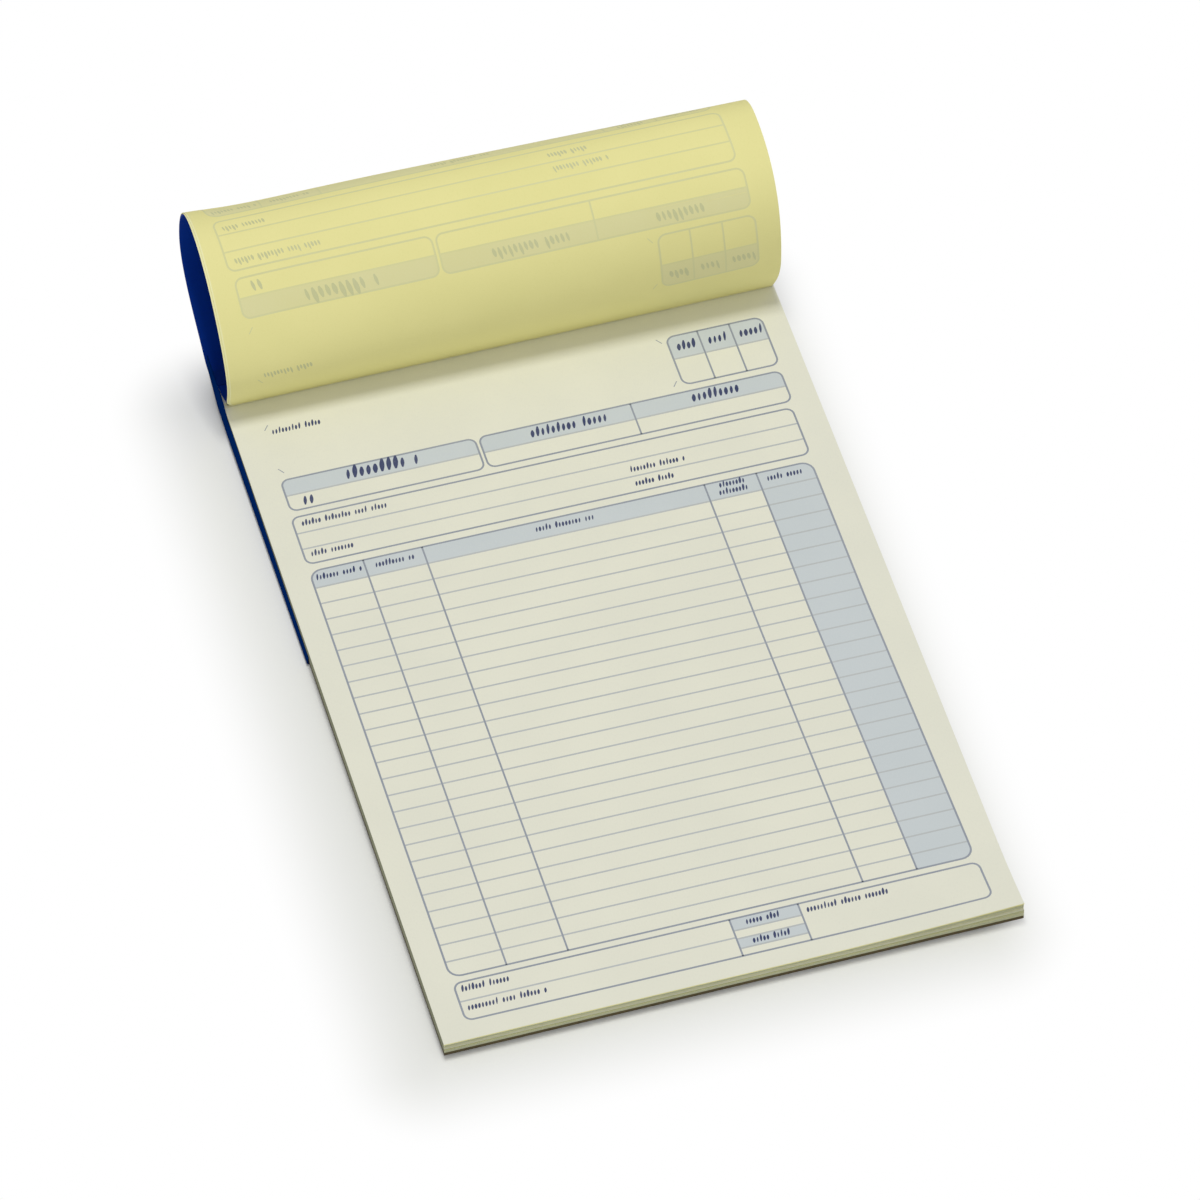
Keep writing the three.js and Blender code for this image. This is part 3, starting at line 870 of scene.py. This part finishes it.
margin_solid = closed_sheet(margin_face(False), margin_face(True))
shaded_margin_card = stock_material("cover margin card, painted shade", SHADED_MARGIN_BLUE, SHADED_MARGIN_BLUE_WORN, MARGIN_CARD_TEXTURE,
                             specular=0.0)
margin = make_piece("cover_margin", *margin_solid, shaded_margin_card, "blue_card")
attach(margin, "tucked_flap")


# Form seen through: the outer used duplicate shows its back, and the form printed on
# its face shows through the thin paper, faint and with its head at the crease. The
# sheet folds a little nearer the binding than the crease, and has turned askew.
SEEN_REACH = 112.0
SEEN_SLIP = 8.35
SEEN_TURN = 0.031
SEEN_MIDDLE = 8.0
SEEN_CELL = 1.0
SEEN_STEP = 0.25
INK_SEEN_THROUGH = ((0.735, 0.705, 0.35), (0.71, 0.69, 0.34), (0.68, 0.67, 0.34), (0.58, 0.585, 0.31))

seen_runs = np.linalg.norm(np.diff(rolled_face, axis=1), axis=2)
seen_lengths = np.concatenate([np.zeros((TURNED_COLUMNS, 1)), seen_runs.cumsum(1)], 1) - stub_depth
seen_places = np.arange(0, SEEN_REACH + 2 * SEEN_SLIP, SEEN_STEP)
seen_points = np.stack([
    np.stack([np.interp(seen_places, lengths, column[:, k]) for k in range(3)], 1)
    for lengths, column in zip(seen_lengths, rolled_face)
])
seen_normals = np.cross(np.gradient(seen_points, axis=0), np.gradient(seen_points, axis=1))
seen_normals /= np.linalg.norm(seen_normals, axis=2, keepdims=True)


def rolled_surface(across, along, rise):
    """A point of the rolled sheet, by its distance from the left edge and along the
    sheet from the crease: the mean of the four nearest points of the sheet's face,
    each weighted by its nearness, and raised along the face's own direction."""
    turned = across - SEEN_TURN * (along - SEEN_MIDDLE) - half_width
    further = along + SEEN_SLIP + SEEN_TURN * (across - half_width)
    column = np.interp(turned, rolled_face[:, CREST_ROW, 0], np.arange(TURNED_COLUMNS))
    column = column.clip(0, TURNED_COLUMNS - 1.001)
    row = (further / SEEN_STEP).clip(0, len(seen_places) - 1.001)
    i, j = column.astype(int), row.astype(int)
    f, g = (column - i)[:, None], (row - j)[:, None]

    def blended(table):
        near = table[i, j] * (1 - g) + table[i, j + 1] * g
        far = table[i + 1, j] * (1 - g) + table[i + 1, j + 1] * g
        return near * (1 - f) + far * f

    return blended(seen_points) + rise * blended(seen_normals)


seen_inks = ink_set("print seen through", *INK_SEEN_THROUGH)
for printed in print_form("seen_through", rolled_surface, seen_inks, "yellow_paper", SEEN_REACH, SEEN_CELL):
    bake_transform(printed)


# Binding: a strip of blue cloth tape folded over the head edge, and two wire
# staples driven through the stubs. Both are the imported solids.
TAPE = (0.001, 0.03, 0.25)
TAPE_THREAD = (0.003, 0.045, 0.32)
TAPE_TEXTURE = (0.8, 0.2, 3200.0, 0.6, 0.8)
TAPE_SPECULAR = 0.1
WIRE = (0.62, 0.62, 0.63)
WIRE_DULL = (0.5, 0.5, 0.52)
WIRE_TEXTURE = (0.4, 0.2, 900.0, 0.25, 0.1)

dress("spine_tape", stock_material("binding tape", TAPE, TAPE_THREAD, TAPE_TEXTURE, TAPE_SPECULAR))
wire_material = stock_material("bright staple wire", WIRE, WIRE_DULL, WIRE_TEXTURE, metallic=1.0)
dress("staple_left", wire_material)
dress("staple_right", wire_material)


# Table and light: a white table, greyer near the pad as painted shade, a lamp straight
# overhead whose shadow is fairly sharp, a weaker one high in front, and even light all round.
FLOOR_HALF = 3000.0
FLOOR_COLOUR = (0.88, 0.885, 0.855)
# Painted shade: the rectangle is set to the left of and in front of the pad, so the grey round the pad
# reaches furthest there.
FADE_MIDDLE = (-8.0, -20.0, 0.0)
FADE_HALF = (70.0, 107.0, 1.0)
FADE_FROM, FADE_TO = 0.0, 0.026
LAMPS = {
    "overhead": {"place": (0.0, 0.115, 1.3), "target": (0.0, 0.05, 0.0), "size": 0.3, "watts": 6.85},
    "front": {"place": (0.0, -1.1, 1.1), "target": (0.0, 0.0, 0.0), "size": 0.6, "watts": 3.85},
}
WORLD_STRENGTH = 0.4


def build_floor():
    """The table. Near the pad it shows lit, in a grey that is painted shade round the pad;
    away from it it fades to plain white for the camera, by the distance from a rectangle under the pad."""
    mesh = bpy.data.meshes.new("table")
    corners = [(-1, -1), (1, -1), (1, 1), (-1, 1)]
    mesh.from_pydata([(x * FLOOR_HALF * MM, y * FLOOR_HALF * MM, 0) for x, y in corners], [], [(0, 1, 2, 3)])
    material = bpy.data.materials.new("table")
    material.use_nodes = True
    nodes, links = material.node_tree.nodes, material.node_tree.links
    surface = nodes["Principled BSDF"]
    surface.inputs["Base Color"].default_value = (*FLOOR_COLOUR, 1)
    surface.inputs["Roughness"].default_value = 0.9
    surface.inputs["Specular IOR Level"].default_value = 0.0
    place = nodes.new("ShaderNodeTexCoord").outputs["Object"]
    middle = tuple(value * MM for value in FADE_MIDDLE)
    half = tuple(value * MM for value in FADE_HALF)
    centred = linked(nodes, links, "ShaderNodeVectorMath", {0: place, 1: middle}, operation="SUBTRACT")
    folded = linked(nodes, links, "ShaderNodeVectorMath", {0: centred.outputs["Vector"]},
                    operation="ABSOLUTE")
    beyond = linked(nodes, links, "ShaderNodeVectorMath", {0: folded.outputs["Vector"], 1: half},
                    operation="SUBTRACT")
    outside = linked(nodes, links, "ShaderNodeVectorMath", {0: beyond.outputs["Vector"], 1: (0, 0, 0)},
                     operation="MAXIMUM")
    distance = linked(nodes, links, "ShaderNodeVectorMath", {0: outside.outputs["Vector"]},
                      operation="LENGTH")
    fade = linked(nodes, links, "ShaderNodeMapRange", {
        "Value": distance.outputs["Value"], "From Min": FADE_FROM, "From Max": FADE_TO,
    }, interpolation_type="SMOOTHSTEP")
    ray = nodes.new("ShaderNodeLightPath").outputs
    seen = linked(nodes, links, "ShaderNodeMath", {0: ray["Is Camera Ray"], 1: ray["Is Glossy Ray"]},
                  operation="ADD")
    seen = linked(nodes, links, "ShaderNodeMath", {0: seen.outputs["Value"], 1: ray["Is Transmission Ray"]},
                  operation="ADD", use_clamp=True)
    share = linked(nodes, links, "ShaderNodeMath", {0: seen.outputs["Value"], 1: fade.outputs["Result"]},
                   operation="MULTIPLY")
    white = linked(nodes, links, "ShaderNodeEmission", {"Color": (1, 1, 1, 1), "Strength": 1.0})
    mixed = linked(nodes, links, "ShaderNodeMixShader", {
        0: share.outputs["Value"], 1: surface.outputs["BSDF"], 2: white.outputs["Emission"],
    })
    links.new(mixed.outputs["Shader"], nodes["Material Output"].inputs["Surface"])
    mesh.materials.append(material)
    floor = bpy.data.objects.new("table", mesh)
    bpy.context.scene.collection.objects.link(floor)


def build_lamp(name, place, target, size, watts):
    """A square lamp that faces a target, both in metres."""
    data = bpy.data.lights.new(name, "AREA")
    data.shape = "SQUARE"
    data.size = size
    data.energy = watts
    lamp = bpy.data.objects.new(name, data)
    bpy.context.scene.collection.objects.link(lamp)
    back = np.array(place, float) - np.array(target, float)
    back /= np.linalg.norm(back)
    right = np.cross([0, 0, 1], back)
    right /= np.linalg.norm(right)
    pose = np.eye(4)
    pose[:3, :3] = np.stack([right, np.cross(back, right), back], 1)
    pose[:3, 3] = place
    lamp.matrix_world = Matrix(pose.tolist())


build_floor()
for lamp_name, lamp_values in LAMPS.items():
    build_lamp(lamp_name, **lamp_values)
world = bpy.data.worlds.new("studio")
bpy.context.scene.world = world
world.use_nodes = True
world.node_tree.nodes["Background"].inputs["Color"].default_value = (1, 1, 1, 1)
world.node_tree.nodes["Background"].inputs["Strength"].default_value = WORLD_STRENGTH
bpy.context.scene.view_settings.view_transform = "Standard"
